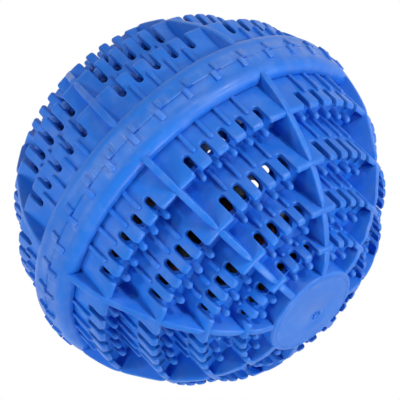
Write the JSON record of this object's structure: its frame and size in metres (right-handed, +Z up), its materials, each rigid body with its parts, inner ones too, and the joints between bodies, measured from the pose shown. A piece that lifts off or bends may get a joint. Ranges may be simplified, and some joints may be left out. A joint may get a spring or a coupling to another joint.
{
  "type": "ceramic laundry ball",
  "caption": "Laundry ball: two slotted plastic half shells with stepped rings of tabs, fins and posts, joined by a twist lock round loose ceramic beads",
  "frame": {"origin": "centre of the flat outer face of the lower polar disc, on which the ball stands", "axes": "+Z up along the twist axis through both polar discs; +X through the middle of a fin of the lower half; the seam is the plane z = 0.0463"},
  "size_m": [0.105, 0.105, 0.0926],
  "materials": {
    "blue_plastic": "injection moulded blue polypropylene, satin",
    "grey_ceramic": "unglazed fired ceramic, matt",
    "brown_ceramic": "unglazed fired ceramic, matt",
    "green_ceramic": "unglazed fired ceramic, matt"
  },
  "bodies": {
    "lower_half": {"brown_bead_01": "brown_ceramic", "brown_bead_03": "brown_ceramic", "brown_bead_04": "brown_ceramic", "brown_bead_10": "brown_ceramic", "brown_bead_15": "brown_ceramic", "brown_bead_16": "brown_ceramic", "brown_bead_24": "brown_ceramic", "brown_bead_25": "brown_ceramic", "brown_bead_41": "brown_ceramic", "brown_bead_42": "brown_ceramic", "brown_bead_43": "brown_ceramic", "brown_bead_49": "brown_ceramic", "brown_bead_50": "brown_ceramic", "brown_bead_54": "brown_ceramic", "brown_bead_56": "brown_ceramic", "brown_bead_57": "brown_ceramic", "green_bead_02": "green_ceramic", "green_bead_05": "green_ceramic", "green_bead_06": "green_ceramic", "green_bead_09": "green_ceramic", "green_bead_11": "green_ceramic", "green_bead_12": "green_ceramic", "green_bead_19": "green_ceramic", "green_bead_20": "green_ceramic", "green_bead_21": "green_ceramic", "green_bead_23": "green_ceramic", "green_bead_26": "green_ceramic", "green_bead_27": "green_ceramic", "green_bead_28": "green_ceramic", "green_bead_29": "green_ceramic", "green_bead_31": "green_ceramic", "green_bead_33": "green_ceramic", "green_bead_39": "green_ceramic", "green_bead_44": "green_ceramic", "green_bead_46": "green_ceramic", "green_bead_48": "green_ceramic", "green_bead_52": "green_ceramic", "green_bead_55": "green_ceramic", "green_bead_58": "green_ceramic", "grey_bead_07": "grey_ceramic", "grey_bead_08": "grey_ceramic", "grey_bead_13": "grey_ceramic", "grey_bead_14": "grey_ceramic", "grey_bead_17": "grey_ceramic", "grey_bead_18": "grey_ceramic", "grey_bead_22": "grey_ceramic", "grey_bead_30": "grey_ceramic", "grey_bead_32": "grey_ceramic", "grey_bead_34": "grey_ceramic", "grey_bead_35": "grey_ceramic", "grey_bead_36": "grey_ceramic", "grey_bead_37": "grey_ceramic", "grey_bead_38": "grey_ceramic", "grey_bead_40": "grey_ceramic", "grey_bead_45": "grey_ceramic", "grey_bead_47": "grey_ceramic", "grey_bead_51": "grey_ceramic", "grey_bead_53": "grey_ceramic", "lower_shell": "blue_plastic"},
    "upper_half": {"upper_shell": "blue_plastic"}
  },
  "joints": [
    {"name": "twist_lock", "type": "hinge", "parent": "lower_half", "child": "upper_half", "pos_m": [0, 0, 0.0463], "axis": [0, 0, 1], "range_deg": [0, 20]}
  ]
}
